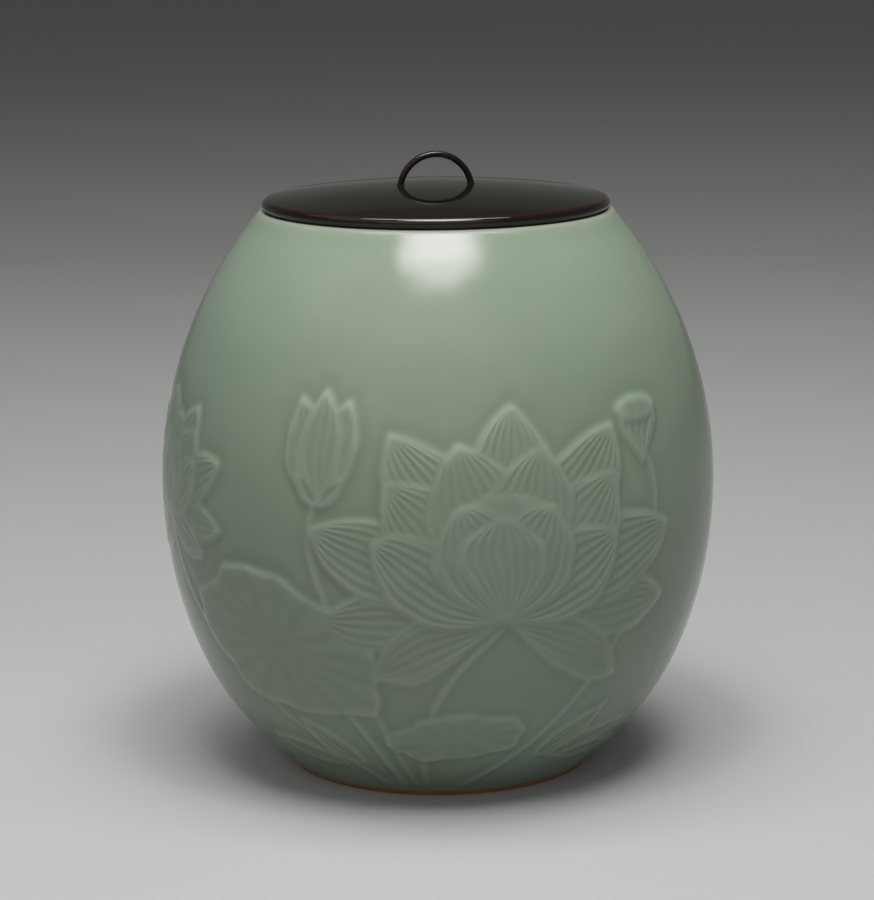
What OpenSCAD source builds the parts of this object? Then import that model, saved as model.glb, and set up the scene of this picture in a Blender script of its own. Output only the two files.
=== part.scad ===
// Lidded water jar: a turned porcelain jar with a lacquered wooden lid.
// The jar stands on z = 0 with its axis on +Z, and the knob's loop spans the X axis.
// Sizes are in millimetres.

/* [Jar] */
// Height of the jar from its foot to its rim
jar_h = 192; // [180:1:205]
// Radius of the belly where it is widest
belly_r = 95; // [88:1:104]
// Height of the widest part of the belly
belly_z = 98.5; // [90:0.5:106]
// Radius of the mouth
mouth_r = 55; // [50:0.5:60]
// Width of the rim round the mouth, before its edges are rounded
rim_w = 5; // [4:0.5:8]
// Outer radius of the foot
foot_r = 52.6; // [48:0.2:57]
// Height at which the flare above the foot meets the lower curve
flare_h = 10; // [8:0.5:14]
// Half of the width of the ellipse that draws the lower curve
lower_w = 63; // [56:1:70]
// Half of the height of the ellipse that draws the lower curve
lower_h = 100.4; // [96:0.2:108]
// Thickness of the wall
wall = 5.5; // [4.5:0.5:6.5]
// Thickness of the floor
floor_t = 8; // [6:0.5:10]
// Width of the foot ring that the jar stands on
foot_ring_w = 6; // [4:0.5:10]
// Depth of the hollow inside the foot ring
foot_hollow = 3.5; // [2:0.5:4]
// Radius that rounds the rim's outer edge
rim_round_out = 2.9; // [1.5:0.1:3.2]
// Radius that rounds the rim's inner edge
rim_round_in = 1.2; // [0.8:0.1:1.6]

/* [Lid] */
// Reach of the lid's edge past the mouth
lid_lap = 4.2; // [3.2:0.1:6]
// Radius of the lid's rounded edge
lid_edge_r = 2; // [1.4:0.1:2.4]
// Height of the lid's crown above its underside
lid_crown_h = 8.2; // [7:0.1:10]
// Depth of the seat ring below the lid's underside
seat_ring_h = 7; // [4:0.5:10]
// Width of the seat ring
seat_ring_w = 4; // [3:0.5:6]
// Depth of the groove that holds the seat ring in the lid
seat_groove = 1.2; // [0.8:0.1:2]

/* [Knob] */
// Thickness of the loop's strip, seen from the front
loop_t = 2.2; // [1.8:0.1:2.6]
// Width of the loop's strip, seen from the side
loop_w = 3.2; // [3:0.1:4.5]
// Radius of the loop's middle line
loop_r = 12.3; // [11:0.1:14]
// Height of the loop's middle line above the lid's crown
loop_rise = 10.2; // [9:0.1:11]
// Radius of the round tenon at the end of each leg
tenon_r = 0.8; // [0.6:0.1:0.9]
// Length of each tenon below the lid's top
tenon_len = 5; // [3.5:0.5:5.5]

/* [Fits] */
// Gap all round between the seat ring and the mouth
mouth_gap = 1.2; // [0.6:0.1:2]
// Gap for paste round a tenon in its mortise and round the seat ring in its groove
paste_gap = 0.05; // [0.02:0.01:0.1]

/* [Hidden] */
$fa = 1.5;
$fs = 0.3;
// Length by which a cut or a joined shape runs past the face that it meets
past = 2;
// Depth by which a rounding crosses the faces beside it, so that each edge is clean
cross = 0.02;

// The shoulder is one arc from the widest point, where it stands upright, to the rim
rise = jar_h - belly_z;
draw_in = belly_r - mouth_r - rim_w;
shoulder_r = round(50 * (draw_in * draw_in + rise * rise) / draw_in) / 100;
shoulder_x = belly_r - shoulder_r;
// The lower curve is a quarter of an ellipse, also upright at the widest point
lower_x = belly_r - lower_w;
flare_x = lower_x + lower_w * sqrt(1 - pow((belly_z - flare_h) / lower_h, 2));
flare_slope = (flare_x - foot_r) / flare_h;
floor_z = foot_hollow + floor_t;

// Middle of the rim's outer rounding, and the lean of the shoulder where it begins
round_z = jar_h - rim_round_out + cross;
round_reach = shoulder_r - rim_round_out + cross;
round_lean = asin((round_z - belly_z) / round_reach);
round_x = shoulder_x + round_reach * cos(round_lean);

// The lid lies on the rim, and its dome runs into the rounded edge
edge_x = mouth_r + lid_lap - lid_edge_r;
edge_z = jar_h + lid_edge_r;
edge_drop = lid_crown_h - lid_edge_r;
edge_reach = lid_edge_r - cross;
dome_r = (edge_x * edge_x + edge_drop * edge_drop - edge_reach * edge_reach) / (2 * (edge_drop - edge_reach));
crown_z = jar_h + lid_crown_h;
dome_z = crown_z - dome_r;
dome_x = edge_x + lid_edge_r * edge_x / dome_r;
ring_out = mouth_r - mouth_gap;
ring_in = ring_out - seat_ring_w;

// Each leg of the loop ends on the dome, half a span from the middle
loop_z = crown_z + loop_rise - loop_r;
half_span = sqrt(loop_r * loop_r - pow(crown_z - loop_z, 2));
seat_z = dome_z + sqrt(dome_r * dome_r - half_span * half_span);
leg_lean = atan((seat_z - loop_z) / half_span);

// Disc that is stretched to the given half width and half height
module oval(x, z, half_w, half_h) {
    translate([x, z]) scale([half_w, half_h]) circle(1, $fn = 240);
}

// The part of a profile that lies right of the axis, between two heights
module band(low, high) {
    intersection() {
        children();
        translate([0, low]) square([2 * belly_r, high - low]);
    }
}

// Half of the jar's outline between two heights, drawn in by inset
module jar_outline(inset, bottom, top) {
    band(belly_z, top) translate([shoulder_x, belly_z]) circle(shoulder_r - inset);
    band(bottom, belly_z) oval(lower_x, belly_z, lower_w - inset, lower_h - inset);
    translate([0, bottom]) square([lower_x, belly_z - bottom]);
}

// The flare above the foot
module flare_outline() {
    top = flare_h + past;
    polygon([[0, 0], [foot_r, 0], [foot_r + flare_slope * top, top], [0, top]]);
}

// What a rounding takes off the edge between the faces at two angles from X
module edge_cut(x, z, r, from, to) {
    reach = 2 * r;
    translate([x, z]) difference() {
        polygon([[0, 0], for (a = [from, (from + to) / 2, to]) reach * [cos(a), sin(a)]]);
        circle(r);
    }
}

module jar_body() {
    color("darkseagreen") rotate_extrude() difference() {
        union() {
            jar_outline(0, flare_h / 2, jar_h);
            flare_outline();
        }
        jar_outline(wall, floor_z, jar_h - past);
        translate([0, belly_z]) square([mouth_r, rise + past]);
        translate([0, -past]) square([foot_r - foot_ring_w, foot_hollow + past]);
        edge_cut(round_x, round_z, rim_round_out, round_lean, 90);
        edge_cut(mouth_r + rim_round_in - cross, jar_h - rim_round_in + cross, rim_round_in, 90, 180);
    }
}

// Half of the space under the lid's domed top, from the given height up
module dome_outline(bottom) {
    band(bottom, crown_z + past) translate([0, dome_z]) circle(dome_r, $fn = 1440);
}

// A round peg from inside a leg down into the lid, on the side given by the sign of side
module tenon(side, r, len) {
    translate([side * half_span, 0, seat_z]) rotate([0, side * (180 - leg_lean), 0])
        translate([0, 0, -loop_t]) cylinder(r = r, h = len + loop_t);
}

module lid_board() {
    color([0.09, 0.06, 0.05]) difference() {
        rotate_extrude() difference() {
            intersection() {
                union() {
                    translate([0, jar_h]) square([edge_x, lid_crown_h]);
                    translate([0, edge_z]) square([dome_x, lid_crown_h]);
                    translate([edge_x, edge_z]) circle(lid_edge_r);
                }
                dome_outline(jar_h - past);
            }
            translate([ring_in - paste_gap, jar_h - past])
                square([seat_ring_w + 2 * paste_gap, seat_groove + past]);
        }
        for (side = [-1, 1]) tenon(side, tenon_r + paste_gap, tenon_len + paste_gap);
    }
}

module lid_seat_ring() {
    color([0.12, 0.08, 0.06]) rotate_extrude()
        translate([ring_in, jar_h - seat_ring_h])
            square([seat_ring_w, seat_ring_h + seat_groove - paste_gap]);
}

// Section of the loop's strip, with its thickness along X and its edges rounded
module loop_section() {
    side = (loop_w - loop_t) / 2;
    translate([-loop_t / 2, -side]) square([loop_t, 2 * side]);
    for (end = [-side, side]) translate([0, end]) circle(loop_t / 2);
}

module knob_loop() {
    color([0.16, 0.07, 0.05]) {
        difference() {
            translate([0, 0, loop_z]) rotate([90, 0, 0])
                rotate_extrude(angle = 180) translate([loop_r, 0]) loop_section();
            rotate_extrude() dome_outline(jar_h);
        }
        for (side = [-1, 1]) tenon(side, tenon_r, tenon_len);
    }
}

jar_body();
lid_board();
lid_seat_ring();
knob_loop();
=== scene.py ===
"""Lidded water jar: a celadon porcelain jar with carved flowers, a lacquered lid and its loop knob.

Sizes in the tables below are in millimetres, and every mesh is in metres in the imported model's frame.
"""

import math

import bpy
import numpy as np
from mathutils import Euler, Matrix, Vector


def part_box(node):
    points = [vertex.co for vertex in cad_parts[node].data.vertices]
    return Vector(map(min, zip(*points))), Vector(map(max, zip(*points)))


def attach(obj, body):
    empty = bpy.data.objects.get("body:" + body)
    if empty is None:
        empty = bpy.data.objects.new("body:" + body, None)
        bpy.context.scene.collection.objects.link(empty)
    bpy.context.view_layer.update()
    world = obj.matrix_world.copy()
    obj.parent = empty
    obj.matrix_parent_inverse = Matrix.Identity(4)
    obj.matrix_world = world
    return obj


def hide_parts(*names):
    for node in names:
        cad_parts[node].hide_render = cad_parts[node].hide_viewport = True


bl_info = {
    "name": "Lidded water jar",
    "version": (1, 0, 0),
    "blender": (4, 5, 0),
    "location": "3D View > Sidebar > Water jar",
    "description": "Dresses the packed jar with its glaze, carving, lacquered lid and studio",
    "category": "Add Mesh",
}

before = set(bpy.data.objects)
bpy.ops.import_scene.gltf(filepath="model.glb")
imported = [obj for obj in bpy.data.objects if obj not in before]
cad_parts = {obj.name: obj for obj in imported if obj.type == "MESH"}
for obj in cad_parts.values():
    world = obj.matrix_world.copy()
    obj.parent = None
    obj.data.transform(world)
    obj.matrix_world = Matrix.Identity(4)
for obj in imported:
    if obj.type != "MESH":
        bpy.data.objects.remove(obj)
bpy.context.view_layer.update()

MM = 0.001


def end_of(node, axis, side=1):
    """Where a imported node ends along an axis, in millimetres to a tenth; side 0 is its low end."""
    return round(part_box(node)[side][axis] / MM, 1)


# Turn of the carved front from -Y, in degrees: the loop is seen a little from its left
FRONT_TURN = -9.0

# Outline of the jar
JAR_H = end_of("jar_body", 2)
BELLY_R, BELLY_Z = end_of("jar_body", 0), 98.5
SHOULDER_R = 142.39
LOWER_W, LOWER_H = 63.0, 100.4
FOOT_R, FLARE_H = 52.6, 10.0
WALL, FLOOR_Z = 5.5, 11.5
MOUTH_R = 55.0
RIM_ROUND_OUT, RIM_ROUND_IN = 2.9, 1.2
FOOT_RING_W, FOOT_HOLLOW, FOOT_ROUND = 6.0, 3.5, 0.5

# Glaze: height of the bare edge at the foot, thickness, and depth of the pale lip below the rim
BARE_H, GLAZE_T, LIP_H = 1.7, 0.3, 3.4

# Lid, seat ring and loop
LID_R, CROWN_Z, LID_EDGE_R = end_of("lid_board", 0), end_of("lid_board", 2), 2.0
RING_OUT, RING_LOW, RING_W = end_of("lid_seat_ring", 0), end_of("lid_seat_ring", 2, 0), 4.0
LOOP_T, LOOP_W, LOOP_R = 2.2, 3.2, 12.3
LOOP_Z = end_of("knob_loop", 2) - LOOP_T / 2 - LOOP_R
COLLAR_H, COLLAR_W = 0.34, 0.42

# Grid of the jar's outside, where the carving is worked out FINER times as densely
COLUMNS, ROWS, FINER = 400, 226, 2
# Columns of the outside for each one of the plain inside and underside
STEP = 4
# Turn from the front in radians, and the columns' spacing there
TURN_STOPS = (
    (-math.pi, 2.6), (-1.75, 2.4), (-1.2, 0.85), (-1.0, 0.72),
    (1.0, 0.72), (1.2, 0.85), (1.75, 2.4), (math.pi, 2.6),
)
# Share of the outline's length, and the rows' spacing there
ROW_STOPS = (
    (0, 0.3), (0.02, 0.25), (0.035, 0.8), (0.06, 0.76), (0.72, 0.76),
    (0.80, 1.4), (0.95, 1.4), (0.968, 0.4), (1, 0.35),
)


# Grids and meshes

def spread(stops, count, loop=False):
    """Positions between the first and last stop, packed as the stops say.

    stops are (position, spacing) pairs: the count positions lie at equal steps of the running
    integral of 1 / spacing.
    """
    at, gap = np.array(stops, float).T
    fine = np.linspace(at[0], at[-1], 20001)
    dense = 1.0 / np.interp(fine, at, gap)
    run = np.concatenate([[0.0], np.cumsum((dense[1:] + dense[:-1]) / 2)])
    steps = np.arange(count) / (count if loop else count - 1)
    return np.interp(steps * run[-1], run, fine)


def smooth(low, high, x):
    """Rises from 0 at low to 1 at high as 3t^2 - 2t^3."""
    t = np.clip((x - low) / (high - low), 0, 1)
    return t * t * (3 - 2 * t)


def along(points):
    """Running length of a row of points."""
    step = np.hypot(*np.diff(points, axis=0).T)
    return np.concatenate([[0.0], np.cumsum(step)])


def resample(points, stops, count):
    """Points at the spacing that stops give over the row's share of length, from 0 to 1."""
    run = along(points)
    at = spread([(p * run[-1], g) for p, g in stops], count)
    return np.stack([np.interp(at, run, points[:, 0]), np.interp(at, run, points[:, 1])], -1)


def arc(x, z, r, start, end, count):
    """Points on a circle's arc, from start to end in degrees from +X."""
    a = np.radians(np.linspace(start, end, count))
    return np.stack([x + r * np.cos(a), z + r * np.sin(a)], -1)


def circle(count, start=0.0):
    """Unit directions at even steps round the axis, from start in radians from -Y, as x and y."""
    a = start + np.arange(count) * 2 * np.pi / count
    return np.sin(a), -np.cos(a)


def front_xy(turn):
    """Unit directions at angles in radians from the carved front, as x and y."""
    a = turn + math.radians(FRONT_TURN)
    return np.sin(a), -np.cos(a)


def turned(profile, x, y):
    """Rings of points (r x, r y, z), for each (r, z) of a profile and each unit direction (x, y)."""
    r, z = np.asarray(profile, float).T
    rings = np.stack([np.outer(r, x), np.outer(r, y), np.outer(z, np.ones(len(x)))], -1)
    return rings.reshape(-1, 3)


def ring_faces(first, second, count):
    """Quads that join two closed rings of count points, given the number of each one's first point."""
    j = np.arange(count)
    k = (j + 1) % count
    return np.stack([first + j, first + k, second + k, second + j], -1)


def band_faces(first, rings, count):
    """Quads over a run of closed rings, given the number of the first ring's first point."""
    starts = first + np.arange(rings) * count
    return np.concatenate([ring_faces(a, b, count) for a, b in zip(starts, starts[1:])])


def fan_faces(ring, pole, count):
    """Triangles from each edge of a closed ring to one point."""
    j = np.arange(count)
    return np.stack([ring + j, ring + (j + 1) % count, np.full(count, pole)], -1)


def lathe(profile, count, start=0.0):
    """Points and faces of a closed turned form, whose profile runs from the axis to the axis.

    The point at angle a on the ring of (r, z) is (r sin a, -r cos a, z). The first and last
    points of the profile are single poles.
    """
    rings = turned(profile[1:-1], *circle(count, start))
    points = np.concatenate([[[0, 0, profile[0, 1]]], rings, [[0, 0, profile[-1, 1]]]])
    last = len(points) - 1
    faces = band_faces(1, len(profile) - 2, count).tolist()
    faces += fan_faces(1, 0, count)[:, ::-1].tolist()
    faces += fan_faces(last - count, last, count).tolist()
    return points, faces


def make_object(name, points, faces, material, attributes=()):
    """A smooth-shaded mesh object from points in millimetres and lists of faces."""
    mesh = bpy.data.meshes.new(name)
    mesh.from_pydata((np.asarray(points) * MM).tolist(), [], faces)
    mesh.polygons.foreach_set("use_smooth", np.ones(len(mesh.polygons), bool))
    for label, values in attributes:
        layer = mesh.attributes.new(label, "FLOAT", "POINT")
        layer.data.foreach_set("value", np.asarray(values, np.float32))
    mesh.materials.append(material)
    mesh.update()
    obj = bpy.data.objects.new(name, mesh)
    bpy.context.collection.objects.link(obj)
    return obj


# Outline of the jar

def shoulder_x(z, inset=0.0):
    """Radius of the shoulder's arc at height z, drawn in by inset."""
    r = SHOULDER_R - inset
    return BELLY_R - SHOULDER_R + np.sqrt(r * r - (z - BELLY_Z) ** 2)


def lower_x(z, inset=0.0):
    """Radius of the lower ellipse at height z, drawn in by inset."""
    t = np.clip((BELLY_Z - z) / (LOWER_H - inset), 0, 1)
    return BELLY_R - LOWER_W + (LOWER_W - inset) * np.sqrt(1 - t * t)


def outer_x(z):
    """Radius of the glazed outside: shoulder arc, lower ellipse, and the flare melted into it.

    The flare and the ellipse join as a smooth maximum, and the glaze ends in a small roll
    above the bare foot.
    """
    melt = 0.35
    roll_h, roll_w, roll_t = BARE_H + 0.7, 0.6, 0.1
    flare = FOOT_R + (lower_x(FLARE_H) - FOOT_R) / FLARE_H * z
    low = lower_x(z)
    both = np.maximum(low, flare) + melt * np.log1p(np.exp(-np.abs(low - flare) / melt))
    both = low + (both - low) * smooth(1.7 * FLARE_H, 1.3 * FLARE_H, z)
    clay = np.where(z > BELLY_Z, shoulder_x(np.maximum(z, BELLY_Z)), both) - GLAZE_T
    glaze = GLAZE_T * smooth(BARE_H - 0.25, BARE_H + 0.3, z)
    return clay + glaze + roll_t * np.exp(-(((z - roll_h) / roll_w) ** 2))


def outer_profile():
    """The outside from the foot's standing ring up and over the rim, as a dense row of points."""
    stand_x, dense_h, rim_flat_x = 50.4, 6.0, 57.8
    reach = SHOULDER_R - RIM_ROUND_OUT
    round_z = JAR_H - RIM_ROUND_OUT
    lean = math.asin((round_z - BELLY_Z) / reach)
    round_x = BELLY_R - SHOULDER_R + reach * math.cos(lean)
    top = BELLY_Z + SHOULDER_R * math.sin(lean)
    z = np.concatenate([np.linspace(FOOT_ROUND, dense_h, 200), np.linspace(dense_h, top, 2400)[1:-1]])
    wall = np.stack([outer_x(z), z], -1)
    foot = arc(wall[0, 0] - FOOT_ROUND, FOOT_ROUND, FOOT_ROUND, -90, 0, 12)
    rim = arc(round_x, round_z, RIM_ROUND_OUT, math.degrees(lean), 90, 40)
    return np.concatenate([[[stand_x, 0.0]], foot[:-1], wall, rim, [[rim_flat_x, JAR_H]]])


def inner_profile():
    """From the rim's flat over the inner edge, down the inside and in to the middle of the floor."""
    rim_flat_x, neck_z, shoulder_z, corner_h = 57.0, 189.9, 189.2, 2.2
    lip = arc(MOUTH_R + RIM_ROUND_IN, JAR_H - RIM_ROUND_IN, RIM_ROUND_IN, 90, 180, 8)
    high = np.linspace(shoulder_z, BELLY_Z, 26)
    low = np.linspace(BELLY_Z, FLOOR_Z + corner_h, 24)[1:]
    shoulder = np.stack([shoulder_x(high, WALL), high], -1)
    lower = np.stack([lower_x(low, WALL), low], -1)
    corner_x = lower[-1, 0]
    floor = [
        [corner_x - 3.4, FLOOR_Z + 0.5], [corner_x - 7.5, FLOOR_Z],
        [30.0, FLOOR_Z - 0.1], [10.0, FLOOR_Z - 0.2], [0.0, FLOOR_Z - 0.2],
    ]
    return np.concatenate([[[rim_flat_x, JAR_H]], lip, [[MOUTH_R, neck_z]], shoulder, lower, floor])


def under_profile():
    """From the middle of the hollow under the floor out to the foot's standing ring."""
    inside = FOOT_R - FOOT_RING_W
    return np.array([
        [0.0, FOOT_HOLLOW + 0.3], [15.0, FOOT_HOLLOW + 0.2], [32.0, FOOT_HOLLOW],
        [inside - 2.0, FOOT_HOLLOW], [inside - 0.7, FOOT_HOLLOW - 0.4], [inside - 0.1, FOOT_HOLLOW - 1.3],
        [inside, 0.8], [inside + 0.25, 0.25], [inside + 0.8, 0.0], [49.6, 0.0],
    ])


# Carving

# Petals of an open flower: turn from upright in degrees, then shares of its size for the length,
# the half width and the bend, then lift
BACK_PETALS = (
    (-84, 0.86, 0.17, -0.16, 0.40),
    (84, 0.86, 0.17, 0.16, 0.40),
    (-106, 0.66, 0.15, -0.20, 0.44),
    (106, 0.66, 0.15, 0.20, 0.44),
    (-60, 0.96, 0.20, -0.10, 0.42),
    (60, 0.96, 0.20, 0.10, 0.42),
    (-32, 1.0, 0.21, -0.04, 0.46),
    (32, 1.0, 0.21, 0.04, 0.46),
    (0, 1.02, 0.22, 0.0, 0.52),
    (-46, 0.82, 0.21, 0.10, 0.62),
    (46, 0.82, 0.21, -0.10, 0.62),
    (-16, 0.82, 0.21, 0.03, 0.62),
    (16, 0.82, 0.21, -0.03, 0.66),
)
FRONT_PETALS = (
    (-64, 0.68, 0.19, 0.18, 0.78),
    (64, 0.68, 0.19, -0.18, 0.78),
    (-30, 0.58, 0.20, 0.10, 0.84),
    (30, 0.58, 0.20, -0.10, 0.88),
    (0, 0.50, 0.21, 0.0, 0.98),
)
# Stems: turn from the front in degrees and height, from the foot up
STEMS = (
    ((-5, 4), (-1, 40), (8, 60), (14, 72)),
    ((-12, 4), (-22, 36), (-34, 52)),
    ((-8, 4), (-20, 60), (-26, 90), (-24, 112)),
    ((6, 4), (30, 34), (46, 84), (45, 122)),
    ((-17, 4), (-46, 40), (-62, 66), (-70, 92)),
)
# Narrow leaves at the foot: turn from the front, height, way in degrees, length and half width
FOOT_LEAVES = (
    (26, 16, 40, 34, 6.0),
    (31, 15, 18, 36, 6.0),
    (36, 14, -2, 30, 5.0),
    (-22, 14, 128, 30, 5.5),
    (-28, 13, 158, 32, 5.5),
)
# Petals of the bud, then the two leaves that hold it: height, way, length, half width and lift
BUD_TURN = -24
BUD = (
    (108, 104, 36, 8.5, 0.5),
    (108, 76, 36, 8.5, 0.55),
    (108, 90, 38, 8.0, 0.8),
    (107, 128, 14, 3.2, 0.6),
    (107, 52, 14, 3.2, 0.6),
)


class Carving:
    """Low carving on a flat sheet of points, laid on one element after another, the front ones last.

    across is the way round the jar from the front in radians, up the length up the outline in
    millimetres, and radius the jar's radius there. height is in millimetres from the plain outside.
    """

    # Half width of the soft step at an outline
    SOFT = 0.7

    def __init__(self, across, up, radius):
        self.across, self.up, self.radius = across, up, radius
        n = len(across)
        self.height = np.zeros(n)
        self.near = np.full(n, -30.0)
        self.phase = np.zeros(n)
        self.rib = np.zeros(n)

    def around(self, place, turn, reach):
        """The points within reach of a place, and their offsets along and across the way of turn."""
        x = (self.across - math.radians(place[0])) * self.radius
        y = self.up - place[1]
        here = np.nonzero((np.abs(x) < reach) & (np.abs(y) < reach))[0]
        c, s = math.cos(math.radians(turn)), math.sin(math.radians(turn))
        return here, x[here] * c + y[here] * s, y[here] * c - x[here] * s

    def lay(self, here, inside, height, phase=0.0, rib=0.0):
        """Lays one element over what is there: inside is the distance in from its outline."""
        cover = smooth(-self.SOFT, self.SOFT, inside)
        self.height[here] += (height - self.height[here]) * cover
        under = self.rib[here] * smooth(0.0, 1.6, -inside)
        self.rib[here] = np.where(inside > 0, rib, under)
        self.phase[here] = np.where(inside > 0, phase, self.phase[here])
        self.near[here] = np.maximum(self.near[here], inside)

    def blade(self, place, turn, length, half, bend=0.0, lift=0.45, widest=0.6, blunt=0.8,
              rib_gap=3.7, vein=0.0, seed=0):
        """A petal or a leaf that grows from a place, turned in degrees from the way round the jar.

        Its half width is half times sin(pi t^q)^blunt at the share t of its length, with q such
        that it is widest at that share. Its middle line bends aside as t^2. The rim stands up, the
        middle is hollow, ribs run from base to tip, and a leaf has a midrib cut in.
        """
        # Each one differs a little in its way, length, bend and edge
        draw = np.random.default_rng(seed).uniform(-1, 1, 6)
        turn = turn + 3.5 * draw[0]
        length = length * (1 + 0.04 * draw[1])
        bend = bend + 0.04 * draw[2]
        here, a, b = self.around(place, turn, length * (1.1 + abs(bend)))
        t = np.clip(a / length, 1e-4, 1 - 1e-4)
        b = b - bend * length * t * t
        sway = np.sin(7.5 * t + 3 * draw[3] + np.sign(b) * (1 + draw[4]))
        ruffle = np.sin(21 * t + 5 * draw[4] + 2 * np.sign(b)) * smooth(0.35, 0.7, t)
        q = math.log(0.5) / math.log(widest)
        swell = np.sin(np.pi * t ** q)
        w = half * swell ** blunt * (1 + 0.06 * sway + 0.03 * ruffle)
        taper = np.cos(np.pi * t ** q) * np.pi * q * t ** (q - 1) * half / length
        slope = blunt * swell ** (blunt - 1) * taper
        past = np.maximum(np.maximum(-a, a - length), 0)
        inside = (w - np.abs(b)) / np.sqrt(1 + np.minimum(slope ** 2, 9))
        inside = np.where(past > 0, -np.hypot(past, b), inside)
        rim = np.exp(-(((inside - 0.7) / 0.6) ** 2))
        hollow = smooth(0.6, 0.8 * half, inside)
        fade = smooth(0.7, 2.0, inside) * smooth(0.30, 0.55, w / half)
        fan = b * half / np.maximum(w, 0.3 * half)
        phase = 2 * np.pi / rib_gap * fan + 1.5 * np.sin(5.5 * t + 3 * draw[5])
        midrib = np.exp(-((b / (1.2 - 0.4 * t)) ** 2)) * smooth(1.0, 0.85, t)
        height = lift + 0.26 * t * t + 0.20 * rim + 0.06 * ruffle - 0.26 * hollow - vein * midrib
        height = height - 0.05 * fade * (1 - np.cos(phase))
        self.lay(here, inside, height, phase, fade)

    def pad(self, place, size, turn, narrow, lift=0.4, veins=13, seed=0):
        """A round water leaf seen aslant, with veins from its middle.

        It is a disc, narrowed one way, whose radius is size times a sum of three sines of the angle.
        """
        here, a, b = self.around(place, turn, size * 1.15)
        b = b / narrow
        rho, phi = np.hypot(a, b), np.arctan2(b, a)
        p = np.random.default_rng(seed).uniform(0, 2 * np.pi, 3)
        wave = np.sin(5 * phi + p[0])
        crinkle = 0.030 * np.sin(9 * phi + p[1]) + 0.012 * np.sin(17 * phi + p[2])
        edge = size * (0.94 + 0.045 * wave + crinkle)
        inside = (edge - rho) / np.hypot(np.cos(phi), np.sin(phi) / narrow)
        out = np.clip(rho / edge, 0, 1)
        pitch = 2 * np.pi / veins
        delta = (phi + 0.05 * np.sin(3 * phi)) / pitch
        off = (delta - np.round(delta)) * pitch * rho
        vein = np.exp(-((off / 1.2) ** 2)) * smooth(0.10, 0.35, out)
        panel = smooth(0.2, 0.6, out) * np.cos(2 * np.pi * delta)
        rim = np.exp(-(((inside - 0.7) / 0.6) ** 2))
        dish = (0.42 + 0.20 * wave) * out ** 2 - 0.22 * smooth(0.16, 0.0, out)
        self.lay(here, inside, lift + dish + 0.24 * rim - 0.20 * vein - 0.07 * panel)

    def pod(self, place, half, tall, lift):
        """The flower's seed head seen aslant: a low oval with a ring of seeds standing on it."""
        here, x, y = self.around(place, 0, 2 * half)
        u, v = x / half, y / tall
        inside = (1 - np.hypot(u, v)) * tall
        seed_x, seed_y = 0.58 * np.array(circle(7))
        seeds = [(0.0, 0.0), *zip(-seed_y, seed_x)]
        bumps = sum(np.exp(-(((u - su) ** 2 + (v - sv) ** 2) / 0.022)) for su, sv in seeds)
        rim = np.exp(-(((inside - 0.8) / 0.7) ** 2))
        self.lay(here, inside, lift + 0.16 * rim + 0.35 * bumps)

    def stem(self, points, half=1.6, lift=0.34):
        """A round-backed stem along the parabola or cubic through its points, thinner to its end."""
        points = np.array(points, float)
        share = np.linspace(0, 1, len(points))
        fine = np.linspace(0, 1, 90)
        order = len(points) - 1
        px = np.polyval(np.polyfit(share, points[:, 0], order), fine)
        py = np.polyval(np.polyfit(share, points[:, 1], order), fine)
        middle = points.mean(0)
        here, x, y = self.around(middle, 0, 100)
        cx = np.radians(px - middle[0])[None, :] * self.radius[here][:, None]
        away = np.hypot(x[:, None] - cx, y[:, None] - (py - middle[1])[None, :])
        w = half * (1 - 0.35 * fine[away.argmin(1)])
        away = away.min(1)
        self.lay(here, w - away, 0.12 + lift * np.sqrt(np.clip(1 - (away / w) ** 2, 0, 1)))

    def ground(self, depth=0.36, reach=4.5):
        """Cuts the ground away beside the outlines, fading out with distance."""
        out = np.minimum(self.near, 0)
        cut = depth * np.exp(-((out / reach) ** 2)) * smooth(self.SOFT, -self.SOFT, self.near)
        self.height -= cut * smooth(-25, -15, self.near)


def blur(field, width):
    """A field on a grid whose columns close on themselves, averaged over a bell of that many steps."""
    reach = max(1, int(3 * width))
    k = np.arange(-reach, reach + 1)
    bell = np.exp(-0.5 * (k / width) ** 2)
    bell /= bell.sum()
    out = sum(w * np.roll(field, s, axis=1) for w, s in zip(bell, k))
    pad = np.pad(out, ((reach, reach), (0, 0)), mode="edge")
    rows = field.shape[0]
    return sum(w * pad[i:i + rows] for i, w in enumerate(bell))


def carve_flower(carving, place, size, lean=0.0):
    """An open water flower from the side: drooping petals, a back fan, the seed head, a front fan."""
    def petals(table, spacing):
        for turn, long, half, bend, lift in table:
            seed = int(turn + spacing * size)
            carving.blade(place, 90 - turn + lean, size * long, size * half, -bend, lift, seed=seed)

    petals(BACK_PETALS, 10)
    carving.pod((place[0], place[1] + 0.50 * size), 0.19 * size, 0.09 * size, 0.78)
    petals(FRONT_PETALS, 11)


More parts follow.
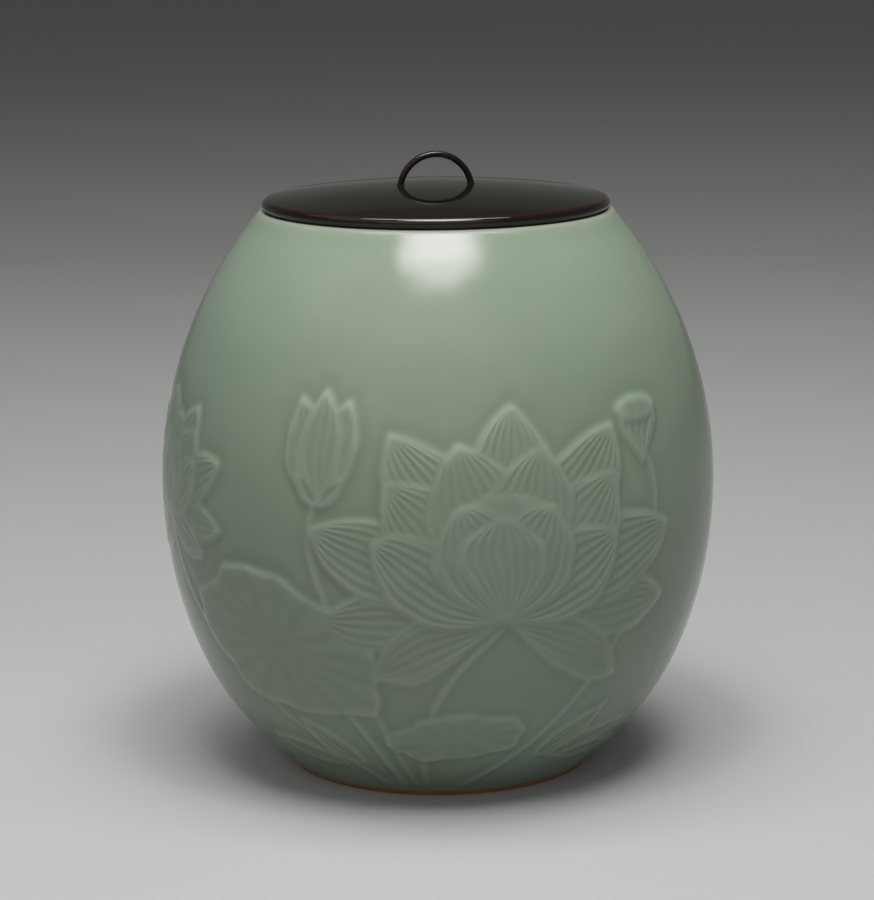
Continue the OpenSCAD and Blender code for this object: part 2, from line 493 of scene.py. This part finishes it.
def carve_spray(carving, up_at):
    """Two water flowers, a bud, a seed head and wavy leaves in low relief, on stems from the foot.

    up_at gives the length up the outline at a height.
    """
    def spot(turn, z):
        return turn, up_at(z)

    for points in STEMS:
        carving.stem([spot(*p) for p in points])
    carving.pad(spot(-36, 58), size=40, turn=-18, narrow=0.66, lift=0.40, veins=15, seed=7)
    carving.pad(spot(4, 27), size=25, turn=6, narrow=0.48, lift=0.36, veins=11, seed=9)
    for turn, z, way, length, half in FOOT_LEAVES:
        carving.blade(spot(turn, z), way, length, half, bend=0.08, lift=0.40, widest=0.42, blunt=0.9,
                      rib_gap=2.6, vein=0.28)
    carve_flower(carving, spot(-72, 94), size=44, lean=6)
    for z, way, length, half, lift in BUD:
        carving.blade(spot(BUD_TURN, z), way, length, half, lift=lift, widest=0.45)
    carving.blade(spot(45, 116), 90, 22, 9.0, lift=0.5, widest=0.7, blunt=0.6)
    carving.pod(spot(45, 134.5), half=9.5, tall=4.4, lift=0.8)
    carve_flower(carving, spot(13, 70), size=72)
    carving.ground()


# Shader maths

class Wire:
    """A socket of a node tree. Arithmetic on it adds Math nodes."""

    def __init__(self, tree, socket):
        self.tree, self.socket = tree, socket

    def _math(self, operation, a, b=0.0):
        return self.tree.add("ShaderNodeMath", {"operation": operation}, [a, b])

    def __add__(self, other):
        return self._math("ADD", self, other)

    def __sub__(self, other):
        return self._math("SUBTRACT", self, other)

    def __rsub__(self, other):
        return self._math("SUBTRACT", other, self)

    def __mul__(self, other):
        return self._math("MULTIPLY", self, other)

    def __pow__(self, other):
        return self._math("POWER", self, other)

    __radd__, __rmul__ = __add__, __mul__

    def sin(self):
        return self._math("SINE", self)

    def clamp(self):
        return self.tree.add("ShaderNodeClamp", {}, {"Value": self})


class Tree:
    """The nodes of one material or world."""

    def __init__(self, owner):
        owner.use_nodes = True
        self.nodes, self.links = owner.node_tree.nodes, owner.node_tree.links
        self.nodes.clear()

    def put(self, socket, value):
        """Links a socket to a wire, or sets it to a number or a colour."""
        if isinstance(value, Wire):
            self.links.new(value.socket, socket)
        elif socket.type == "RGBA":
            socket.default_value = (*value, 1.0)
        else:
            socket.default_value = value

    def add(self, kind, settings, inputs, out=0):
        """One node: its settings are set first, then the values or links of its sockets."""
        node = self.nodes.new(kind)
        for key, value in settings.items():
            setattr(node, key, value)
        for key, value in (enumerate(inputs) if isinstance(inputs, list) else inputs.items()):
            self.put(node.inputs[key], value)
        return Wire(self, node.outputs[out]) if node.outputs else None

    def mix(self, share, a, b):
        """Colour a where share is 0, b where it is 1, through the Mix node's sockets for colours."""
        return self.add("ShaderNodeMix", {"data_type": "RGBA"}, {0: share, 6: a, 7: b}, 2)

    def attribute(self, name):
        return self.add("ShaderNodeAttribute", {"attribute_name": name}, {}, "Fac")

    def place(self):
        return self.add("ShaderNodeTexCoord", {}, {}, "Object")

    def noise(self, scale, detail=2.0):
        inputs = {"Vector": self.place(), "Scale": scale, "Detail": detail}
        return self.add("ShaderNodeTexNoise", {}, inputs)

    def bump(self, height, distance, **normal):
        """A Bump node: height times distance in metres, on top of the Normal if one is given."""
        return self.add("ShaderNodeBump", {}, {"Height": height, "Distance": distance, **normal})

    def surface(self, **sockets):
        """A Principled surface on the output; underscores in names stand for spaces."""
        names = {key.replace("_", " "): value for key, value in sockets.items()}
        shader = self.add("ShaderNodeBsdfPrincipled", {}, names)
        self.add("ShaderNodeOutputMaterial", {}, {"Surface": shader})


def celadon(look):
    """Grey-green glaze, paler where it runs thin and deeper where it pools, with painted light in its tone
    low down and on the shoulder, and bare clay at the foot.
    """
    material = bpy.data.materials.new("celadon_glaze")
    t = Tree(material)
    tone, lip, bare = t.attribute("tone"), t.attribute("lip"), t.attribute("bare")
    ribs = t.attribute("rib_phase").sin() * t.attribute("rib")
    drift = t.noise(scale=14.0) - 0.5
    grain = t.noise(scale=700.0) - 0.5
    depth = tone + ribs * 0.14 + drift * 0.5 + grain * 0.12
    # Sea-green patches and specks lie where their noise is above a level
    hue_level, hue_gain = 0.42, 3.0
    speck_level, speck_gain, speck_share = 0.78, 14.0, 0.05
    hue = ((t.noise(scale=9.0) - hue_level) * hue_gain).clamp()
    colour = t.mix(hue, look.glaze, look.sea)
    colour = t.mix((0.0 - depth).clamp(), colour, look.pooled)
    # The paler side of the tone holds thin glaze on raised edges and the painted light low down and on the
    # shoulder
    colour = t.mix(depth.clamp(), colour, look.thin)
    colour = t.mix(lip, colour, look.lip)
    speck = ((t.noise(scale=420.0, detail=0.0) - speck_level) * speck_gain).clamp()
    colour = t.mix(speck * speck_share, colour, look.speck)
    clay = t.mix(t.noise(scale=160.0, detail=3.0), look.clay, look.clay_dark)
    colour = t.mix(bare, colour, clay)
    # Bare clay and the top of the rim are rougher than the glaze
    rough = look.gloss + grain * 0.05 + bare * 0.6 + lip ** 4.0 * 0.3
    peel = t.bump(t.noise(scale=55.0, detail=1.0), distance=0.0004)
    normal = t.bump(ribs, distance=0.00007, Normal=peel)
    # The sheen takes back the green of the glaze below, so that the highlight is white
    sheen = (1.0, 0.88, 0.97)
    t.surface(Base_Color=colour, Roughness=rough, Normal=normal, IOR=1.36, Specular_Tint=sheen)
    return material


def lacquer(name, look, gloss, ior=1.46):
    """Polished dark lacquer, warmer where it is thin, with faint long waves from the hand's rubbing."""
    material = bpy.data.materials.new(name)
    t = Tree(material)
    thin = t.attribute("thin")
    cloud = t.noise(scale=45.0, detail=3.0)
    colour = t.mix((thin + cloud * 0.18 - 0.06).clamp(), look.dark, look.warm)
    rough = gloss + t.noise(scale=130.0) * 0.02
    wave = t.bump(t.noise(scale=38.0, detail=1.0), distance=0.00012)
    t.surface(Base_Color=colour, Roughness=rough, Normal=wave, IOR=ior)
    return material


def floor_paper(look):
    """Satin pale paper with painted light: painted paler round the foot, which lifts the jar's shadow
    there, and painted paler far from the jar, where less light falls.
    """
    # Painted light far off: the paper is painted paler from this distance on, where less light falls
    falloff_lift_start, falloff_lift_rise = 1.3, 0.24
    # Painted light round the foot: the paper is painted paler within this reach of a point just behind the
    # axis, lifting the jar's shadow
    shadow_lift_end, shadow_lift_rise, shadow_lift_back = 0.058, 18.5, 0.03
    material = bpy.data.materials.new("floor_paper")
    t = Tree(material)
    away = t.add("ShaderNodeVectorMath", {"operation": "LENGTH"}, [t.place()], "Value")
    share = ((away - falloff_lift_start) * falloff_lift_rise).clamp() + t.noise(scale=6.0, detail=1.0) * 0.03
    tint = t.mix(share, look.floor, look.falloff_lift_floor)
    # Painted light: the paper is painted paler round the foot, which lifts the jar's shadow there
    middle = studio_place(180.0, shadow_lift_back, 0.0)
    under = t.add("ShaderNodeVectorMath", {"operation": "DISTANCE"}, [t.place(), middle], "Value")
    close = (1.0 - (under - shadow_lift_end) * shadow_lift_rise).clamp()
    tint = t.mix(close * close * (3.0 - close * 2.0), tint, look.shadow_lift_floor)
    t.surface(Base_Color=tint, Roughness=0.5, Specular_IOR_Level=0.4)
    return material


# Settings

def number_setting(name, description, value, **more):
    """A number that the panel shows, with its label, help text and default."""
    return bpy.props.FloatProperty(name=name, description=description, default=value, **more)


def colour_setting(name, description, value):
    """A linear colour that the panel shows, with its label, help text and default."""
    return bpy.props.FloatVectorProperty(
        name=name, description=description, default=value, subtype="COLOR", size=3, min=0, max=1)


def power_setting(name, description, value):
    return number_setting(name, description, value, min=0, unit="POWER")


def length_setting(name, description, value):
    return number_setting(name, description, value, unit="LENGTH")


def angle_setting(name, description, degrees):
    return number_setting(name, description, math.radians(degrees), subtype="ANGLE")


class JarLook(bpy.types.PropertyGroup):
    """Glaze and clay of the jar."""
    glaze: colour_setting("Glaze", "Colour of the glaze at its usual depth", (0.190, 0.236, 0.176))
    sea: colour_setting("Sea-green glaze", "Colour of the glaze in some patches", (0.177, 0.236, 0.182))
    pooled: colour_setting("Pooled glaze", "Colour where the glaze lies deep", (0.144, 0.192, 0.127))
    # The painted light low down and on the shoulder is also drawn in this colour
    thin: colour_setting("Thin glaze", "Colour where the glaze runs thin", (0.243, 0.292, 0.225))
    lip: colour_setting("Lip", "Colour of the rim, where the clay shows through", (0.234, 0.244, 0.205))
    speck: colour_setting("Speck", "Colour of the small iron specks", (0.10, 0.09, 0.06))
    clay: colour_setting("Bare clay", "Colour of the unglazed foot", (0.46, 0.215, 0.085))
    clay_dark: colour_setting("Burnt clay", "Darker colour in the unglazed foot", (0.30, 0.130, 0.055))
    gloss: number_setting("Roughness", "Roughness of the glaze", 0.16, min=0, max=1)
    carving: number_setting("Carving", "Depth of the carving, 1 as drawn", 0.68, min=0, max=2)


class LidLook(bpy.types.PropertyGroup):
    """Lacquer of the lid, its ring and its loop."""
    dark: colour_setting("Lacquer", "Colour of the lacquer where it is thick", (0.0054, 0.0053, 0.0040))
    warm: colour_setting("Thin lacquer", "Colour of the lacquer where it is thin", (0.022, 0.0076, 0.006))
    gloss: number_setting("Roughness", "Roughness of the lid and the loop", 0.03, min=0, max=1)
    ring_gloss: number_setting("Ring roughness", "Roughness of the ring below the lid", 0.22, min=0, max=1)


class StageLook(bpy.types.PropertyGroup):
    """Floor, lights and camera."""
    floor: colour_setting("Floor", "Colour of the floor by the jar", (0.378, 0.378, 0.375))
    # Painted light: paler paper round the foot, which lifts the jar's shadow
    shadow_lift_floor: colour_setting("Floor at the foot", "Colour of the floor by the foot", (0.76, 0.76, 0.75))
    # Painted light: paler paper far from the jar, where less light falls
    falloff_lift_floor: colour_setting("Far floor", "Colour of the floor far from the jar", (0.84, 0.84, 0.83))
    key: power_setting("Key light", "Power of the widest layer of the light above the front", 7.1)
    top: power_setting("Top light", "Power of the light overhead", 13.8)
    low: power_setting("Low fill", "Power of the dim light far in front", 6.2)
    left: power_setting("Left fill", "Power of the light at the front left", 2.3)
    right: power_setting("Right fill", "Power of the light at the front right", 0.3)
    side: power_setting("Side fill", "Power of the light at the left side", 1.4)
    lens: number_setting("Lens", "Focal length of the camera in millimetres", 119.01, min=10)
    distance: length_setting("Distance", "Distance of the camera from the jar's axis", 1.0089)
    height: length_setting("Height", "Height of the camera above the floor", 0.3179)
    pitch: angle_setting("Pitch", "Downward tilt of the camera", 11.766)
    roll: angle_setting("Roll", "Turn of the camera about its view", 0.521)


# Jar

def carve_jar(sheet, depth):
    """Height, tone, rib phase and rib strength of the carving on the grid of the jar's outside.

    sheet is the outline at the finer rows. tone is above 0 where the glaze runs thin, which is on
    raised edges, and below 0 where it pools. It is also raised low down and on the shoulder as
    painted light: paler glaze that lifts the shade low on the body and brightens the shoulder.
    """
    run = along(sheet)
    z = sheet[:, 1]
    wall = (z > 0.4) & (z < JAR_H - 4)

    def up_at(height):
        return float(np.interp(height, z[wall], run[wall]))

    around = spread(TURN_STOPS, FINER * COLUMNS, True)
    rows, columns = grid = (len(sheet), len(around))
    carving = Carving(np.tile(around, rows), np.repeat(run, columns), np.repeat(sheet[:, 0], columns))
    carve_spray(carving, up_at)
    # Widths of the bells, in steps of the grid, that soften the carving and find its edges and pools
    soften, edge_width, pool_width = 1.45, 5.0, 7.0
    # Height of an edge and depth of a pool that count in full
    edge_full, pool_full = 0.32, 0.6
    fade = (smooth(2.5, 7.0, z) * smooth(186, 176, z))[:, None]
    shallow = 1 - 0.4 * smooth(0.9, 1.25, np.abs(around))
    height = blur(carving.height.reshape(grid) * fade * shallow * depth, soften)
    edge = (height - blur(height, edge_width)) / edge_full
    pool = np.minimum(blur(height, pool_width), 0) / pool_full
    tone = np.clip(np.where(edge > 0, edge, 0.7 * edge) + 0.4 * pool, -1, 1)
    # Painted light: the glaze is painted paler low down, lifting the shade of the lower body, and paler on
    # the shoulder, where more light falls
    painted_light_low = 0.22 * smooth(100, 45, z)
    painted_light_shoulder = 0.25 * smooth(148, 166, z) * smooth(190, 184, z)
    tone = tone + (painted_light_low + painted_light_shoulder)[:, None]
    fields = (height, tone, carving.phase.reshape(grid), carving.rib.reshape(grid) * fade)
    return [field[::FINER, ::FINER] for field in fields]


def jar_mesh(depth):
    """Points, faces and attributes of the jar, closed from the hollow of its foot to the floor inside.

    The outside is the outline plus the carving's height along its normal, turned round the axis.
    The plain underside and inside have one column for each STEP columns of the outside.
    """
    sheet = resample(outer_profile(), ROW_STOPS, FINER * (ROWS - 1) + 1)
    height, tone, phase, rib = carve_jar(sheet, depth)
    outer = sheet[::FINER]
    tangent = np.gradient(outer, axis=0)
    tangent /= np.hypot(*tangent.T)[:, None]
    r = outer[:, :1] + height * tangent[:, 1:]
    z = outer[:, 1:] - height * tangent[:, :1]
    turn = spread(TURN_STOPS, COLUMNS, True)
    x, y = front_xy(turn)
    shell = np.stack([r * x, r * y, z], -1).reshape(-1, 3)
    under, inner = under_profile(), inner_profile()
    low = turned(under[1:], x[::STEP], y[::STEP])
    high = turned(inner[:-1], x[::STEP], y[::STEP])
    points = np.concatenate([[[0, 0, under[0, 1]]], low, shell, high, [[0, 0, inner[-1, 1]]]])

    few = COLUMNS // STEP
    at_shell = 1 + len(low)
    at_high = at_shell + len(shell)
    last = len(points) - 1
    faces = band_faces(1, len(under) - 1, few).tolist()
    faces += band_faces(at_shell, ROWS, COLUMNS).tolist()
    faces += band_faces(at_high, len(inner) - 1, few).tolist()
    faces += fan_faces(1, 0, few)[:, ::-1].tolist()
    faces += fan_faces(last - few, last, few).tolist()
    # Where a ring of the outside meets a plain one, each face has one long edge and STEP short ones
    k = np.arange(few)
    n = (k + 1) % few
    short = [(STEP * k + m) % COLUMNS for m in range(STEP + 1)]
    low_ring, top_ring = at_shell - few, at_high - COLUMNS
    faces += np.stack([low_ring + k, low_ring + n] + [at_shell + s for s in short[::-1]], -1).tolist()
    faces += np.stack([top_ring + s for s in short] + [at_high + n, at_high + k], -1).tolist()

    def whole(outside):
        """Values for all points: those given for the outside, and 0 elsewhere."""
        return np.concatenate([np.zeros(at_shell), outside.ravel(), np.zeros(len(high) + 1)])

    # The lip's lower end and the glaze's end at the foot waver round the jar
    level = outer[:, 1:]
    lip_share, lip_fade = 0.75, 2.8
    lip_end = JAR_H - LIP_H + 0.5 * np.cos(turn) + 0.2 * np.sin(5 * turn)
    lip = whole(lip_share * smooth(0.0, lip_fade, level - lip_end))
    lip[at_high:] = smooth(JAR_H - 3.5, JAR_H - 0.6, points[at_high:, 2])
    waves = 0.16 * np.sin(3 * turn + 1.0) + 0.10 * np.sin(11 * turn) + 0.07 * np.sin(23 * turn + 2.0)
    bare = whole(smooth(0.15, -0.15, level - BARE_H - waves))
    on_ring = np.hypot(low[:, 0], low[:, 1]) > FOOT_R - FOOT_RING_W - 0.2
    bare[1:at_shell] = on_ring & (low[:, 2] < 1.5)
    attributes = (
        ("tone", whole(tone)),
        ("rib_phase", whole(phase)),
        ("rib", whole(rib)),
        ("lip", lip),
        ("bare", bare),
    )
    return points, faces, attributes


class JAR_OT_body(bpy.types.Operator):
    """Make the glazed jar with its carving"""
    bl_idname = "water_jar.body"
    bl_label = "Jar"

    def execute(self, context):
        look = context.scene.jar_look
        points, faces, attributes = jar_mesh(look.carving)
        jar = make_object("celadon_jar", points, faces, celadon(look), attributes)
        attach(jar, "jar")
        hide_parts("jar_body")
        return {"FINISHED"}


# Lid, seat ring and loop

def lid_mesh():
    """Points, faces and thinness of the lid: a flat underside, a round edge and a dome, turned.

    The dome is the sphere through the crown that touches the edge's rounding. A low collar of
    lacquer stands round each leg of the loop.
    """
    edge_x, edge_z = LID_R - LID_EDGE_R, JAR_H + LID_EDGE_R
    drop = CROWN_Z - edge_z
    dome_r = (edge_x ** 2 + drop ** 2 - LID_EDGE_R ** 2) / (2 * (drop - LID_EDGE_R))
    lean = math.asin(edge_x / (dome_r - LID_EDGE_R))
    start_x = edge_x + LID_EDGE_R * math.sin(lean)
    # Distance from the axis and the rings' spacing there, close by the legs of the loop
    stops = (
        (0, 3.0), (8.5, 1.0), (10.0, 0.22), (14.6, 0.22),
        (16, 1.0), (24, 3.0), (50, 2.0), (start_x, 0.5),
    )
    out = spread(stops, count=78)[::-1]
    dome = np.stack([out, CROWN_Z - dome_r + np.sqrt(dome_r ** 2 - out ** 2)], -1)
    under = [[x, JAR_H] for x in (0.0, 20.0, 40.0, 49.0, 54.5, edge_x - 0.4)]
    nose = arc(edge_x, edge_z, LID_EDGE_R, -90, 90 - math.degrees(lean), 26)
    profile = np.concatenate([under, nose, dome[1:]])
    points, faces = lathe(profile, count=288, start=math.radians(90))
    span = math.sqrt(LOOP_R ** 2 - (CROWN_Z - LOOP_Z) ** 2)
    top = points[:, 2] > JAR_H + 2 * LID_EDGE_R
    for side in (-span, span):
        d = np.hypot((points[:, 0] - side) / (LOOP_T / 2), points[:, 1] / (LOOP_W / 2))
        points[:, 2] += np.where(top, COLLAR_H * np.exp(-(((d - 1.0) / COLLAR_W) ** 2)), 0)
    # The edge is worn most where it turns up into the dome, at this angle from level
    worn_at, worn_width = 62, 16
    radius = np.hypot(points[:, 0], points[:, 1])
    lift = np.degrees(np.arctan2(points[:, 2] - edge_z, radius - edge_x))
    on_edge = smooth(edge_x - 0.2, edge_x + 0.3, radius)
    worn = 0.22 + 0.6 * np.exp(-(((lift - worn_at) / worn_width) ** 2))
    below = 0.5 * (points[:, 2] < JAR_H + 0.2)
    return points, faces, on_edge * worn + (1 - on_edge) * below


def ring_mesh():
    """Points, faces and thinness of the seat ring: a section with two round lower edges, turned."""
    inside, high, soft, count = RING_OUT - RING_W, JAR_H + 0.4, 0.8, 256
    section = np.concatenate([
        arc(inside + soft, RING_LOW + soft, soft, 180, 270, 7),
        arc(RING_OUT - soft, RING_LOW + soft, soft, 270, 360, 7),
        np.linspace((RING_OUT, RING_LOW + 2), (RING_OUT, high), 3),
        np.linspace((inside, high), (inside, RING_LOW + 2), 3),
    ])
    m = len(section)
    points = turned(section, *circle(count))
    faces = np.concatenate([ring_faces(i * count, (i + 1) % m * count, count) for i in range(m)])
    thin = np.repeat(0.25 + 0.5 * (section[:, 1] < RING_LOW + 0.6), count)
    return points, faces.tolist(), thin


def loop_mesh():
    """Points, faces and thinness of the loop: a rounded strip carried along half a circle.

    The strip's section is |u / t|^p + |v / w|^p = 1 with p = 2.7, and u points out from the middle.
    """
    turns, sides, power = 121, 28, 2 / 2.7
    a = np.linspace(0, np.pi, turns)[:, None]
    b = np.arange(sides) * 2 * np.pi / sides
    u = np.sign(np.cos(b)) * np.abs(np.cos(b)) ** power * LOOP_T / 2
    v = np.sign(np.sin(b)) * np.abs(np.sin(b)) ** power * LOOP_W / 2
    r = LOOP_R + u
    rings = np.stack([r * np.cos(a), np.tile(v, (turns, 1)), LOOP_Z + r * np.sin(a)], -1)
    points = rings.reshape(-1, 3)
    faces = band_faces(0, turns, sides)[:, ::-1].tolist()
    last = turns * sides - 1
    faces += [list(range(sides)), list(range(last, last - sides, -1))]
    thin = 0.20 + 0.40 * np.abs(np.cos(b)) ** 4
    return points, faces, np.tile(thin, turns)


class JAR_OT_lid(bpy.types.Operator):
    """Make the lacquered lid and the ring under it"""
    bl_idname = "water_jar.lid"
    bl_label = "Lid"

    def execute(self, context):
        look = context.scene.lid_look
        points, faces, thin = lid_mesh()
        polished = lacquer("lid_lacquer", look, look.gloss)
        lid = make_object("lacquer_lid", points, faces, polished, [("thin", thin)])
        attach(lid, "lid")
        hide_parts("lid_board")
        points, faces, thin = ring_mesh()
        satin = lacquer("ring_lacquer", look, look.ring_gloss)
        ring = make_object("lid_ring", points, faces, satin, [("thin", thin)])
        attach(ring, "lid")
        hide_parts("lid_seat_ring")
        return {"FINISHED"}


class JAR_OT_loop(bpy.types.Operator):
    """Make the bent loop that lifts the lid"""
    bl_idname = "water_jar.loop"
    bl_label = "Loop knob"

    def execute(self, context):
        look = context.scene.lid_look
        points, faces, thin = loop_mesh()
        coat = lacquer("loop_lacquer", look, look.gloss, ior=1.40)
        loop = make_object("lid_loop", points, faces, coat, [("thin", thin)])
        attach(loop, "lid")
        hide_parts("knob_loop")
        return {"FINISHED"}


# Stage, in metres

# Share of the key light's size in each of its layers, which stack up to a bright middle
KEY_LAYERS = (1.0, 0.88, 0.76, 0.6)
KEY_SIZE, KEY_REACH, KEY_HEIGHT, KEY_ASIDE = (0.90, 0.68), 0.50, 1.36, 0.035
LIGHT_AIM = Vector((0, 0, 0.14))
# Setting, turn from the front in degrees, reach from the axis, height, and size of the other lights
OTHER_LIGHTS = {
    "top_light": ("top", 0.0, 0.02, 1.6, (1.5, 0.5)),
    "low_fill": ("low", 0.0, 1.8, 1.2, (3.2, 1.6)),
    "left_fill": ("left", -50.0, 1.5, 1.3, (2.0, 1.6)),
    "right_fill": ("right", 50.0, 1.5, 1.3, (2.0, 1.6)),
    "side_fill": ("side", -90.0, 0.8, 1.4, (1.3, 1.3)),
}
CAMERA_ASIDE = -0.00037


def studio_place(turn, reach, height, aside=0.0):
    """A place out from the axis at a turn in degrees from the front, and aside to the right of it."""
    x, y = front_xy(math.radians(turn))
    return Vector((x * reach - y * aside, y * reach + x * aside, height))


def lay_floor(look):
    """A wide round sheet of paper just below the foot."""
    radii, depth, count = (200, 500, 1000, 2000, 4000, 6000), 0.02, 96
    rings = turned([(r, -depth) for r in radii], *circle(count))
    points = np.concatenate([[[0, 0, -depth]], rings])
    faces = fan_faces(1, 0, count).tolist() + band_faces(1, len(radii), count)[:, ::-1].tolist()
    floor = make_object("floor", points, faces, floor_paper(look))


def hang_light(name, power, size, place):
    """An oval light that faces the jar."""
    lamp = bpy.data.lights.new(name, "AREA")
    lamp.shape = "ELLIPSE"
    lamp.size, lamp.size_y = size
    lamp.energy = power
    obj = bpy.data.objects.new(name, lamp)
    obj.location = place
    obj.rotation_euler = (LIGHT_AIM - place).to_track_quat("-Z", "Y").to_euler()
    bpy.context.collection.objects.link(obj)


def hang_lights(look):
    """The key light in layers, each a little above and behind the last, then the other lights."""
    back, up = 0.01, 0.02
    for i, share in enumerate(KEY_LAYERS):
        size = [share * side for side in KEY_SIZE]
        place = studio_place(0.0, KEY_REACH - back * i, KEY_HEIGHT + up * i, KEY_ASIDE)
        hang_light(f"key_light_{i + 1}", look.key * share ** 2, size, place)
    for name, (setting, turn, reach, height, size) in OTHER_LIGHTS.items():
        hang_light(name, getattr(look, setting), size, studio_place(turn, reach, height))


def studio_world(scene):
    """A backdrop that meets the floor, fades as it rises and ends at an edge below the dark room."""
    backdrop_low, backdrop_high = (0.16, 0.16, 0.152), (0.068, 0.068, 0.063)
    room, below = (0.045, 0.045, 0.045), (0.06, 0.06, 0.06)
    backdrop_top, horizon, sharp = 0.33, -0.055, 50.0
    scene.world = bpy.data.worlds.new("studio")
    t = Tree(scene.world)
    sky = t.add("ShaderNodeTexCoord", {}, {}, "Generated")
    up = t.add("ShaderNodeSeparateXYZ", {}, {"Vector": sky}, "Z")
    fade = (1.0 - up * 3.0).clamp() ** 1.4
    tint = t.mix(fade, backdrop_high, backdrop_low)
    tint = t.mix(((up - backdrop_top) * sharp).clamp(), tint, room)
    tint = t.mix(((up - horizon) * sharp).clamp(), below, tint)
    light = t.add("ShaderNodeBackground", {}, {"Color": tint, "Strength": 1.0})
    t.add("ShaderNodeOutputWorld", {}, {"Surface": light})


def set_camera(scene, look):
    """The camera in front of the jar, tilted down and turned a little about its view."""
    lens = bpy.data.cameras.new("camera")
    lens.lens = look.lens
    lens.sensor_width = 36.0
    lens.clip_start = 0.05
    camera = bpy.data.objects.new("camera", lens)
    camera.location = studio_place(0.0, look.distance, look.height, CAMERA_ASIDE)
    turn = Euler((math.pi / 2 - look.pitch, 0, math.radians(FRONT_TURN)), "XYZ").to_matrix()
    roll = Euler((0, 0, -look.roll), "XYZ").to_matrix()
    camera.rotation_euler = (turn @ roll).to_euler()
    bpy.context.collection.objects.link(camera)
    scene.camera = camera


class JAR_OT_stage(bpy.types.Operator):
    """Lay the floor, hang the lights and set the camera"""
    bl_idname = "water_jar.stage"
    bl_label = "Stage"

    def execute(self, context):
        scene = context.scene
        scene.view_settings.view_transform = "Standard"
        lay_floor(scene.stage_look)
        hang_lights(scene.stage_look)
        studio_world(scene)
        set_camera(scene, scene.stage_look)
        return {"FINISHED"}


class JAR_PT_panel(bpy.types.Panel):
    """The jar's settings and pieces"""
    bl_idname = "JAR_PT_panel"
    bl_label = "Water jar"
    bl_space_type = "VIEW_3D"
    bl_region_type = "UI"
    bl_category = "Water jar"

    def draw(self, context):
        for group in SETTINGS:
            settings = getattr(context.scene, group)
            box = self.layout.box()
            for name in settings.bl_rna.properties.keys():
                if name not in ("rna_type", "name"):
                    box.prop(settings, name)
        for piece in PIECES:
            self.layout.operator(piece.bl_idname)


SETTINGS = {"jar_look": JarLook, "lid_look": LidLook, "stage_look": StageLook}
PIECES = (JAR_OT_body, JAR_OT_lid, JAR_OT_loop, JAR_OT_stage)


def register():
    for cls in (*SETTINGS.values(), *PIECES, JAR_PT_panel):
        bpy.utils.register_class(cls)
    for name, group in SETTINGS.items():
        setattr(bpy.types.Scene, name, bpy.props.PointerProperty(type=group))


def unregister():
    for name in SETTINGS:
        delattr(bpy.types.Scene, name)
    for cls in reversed((*SETTINGS.values(), *PIECES, JAR_PT_panel)):
        bpy.utils.unregister_class(cls)


def main():
    register()
    bpy.ops.water_jar.body()
    bpy.ops.water_jar.lid()
    bpy.ops.water_jar.loop()
    bpy.ops.water_jar.stage()


if __name__ == "__main__":
    main()
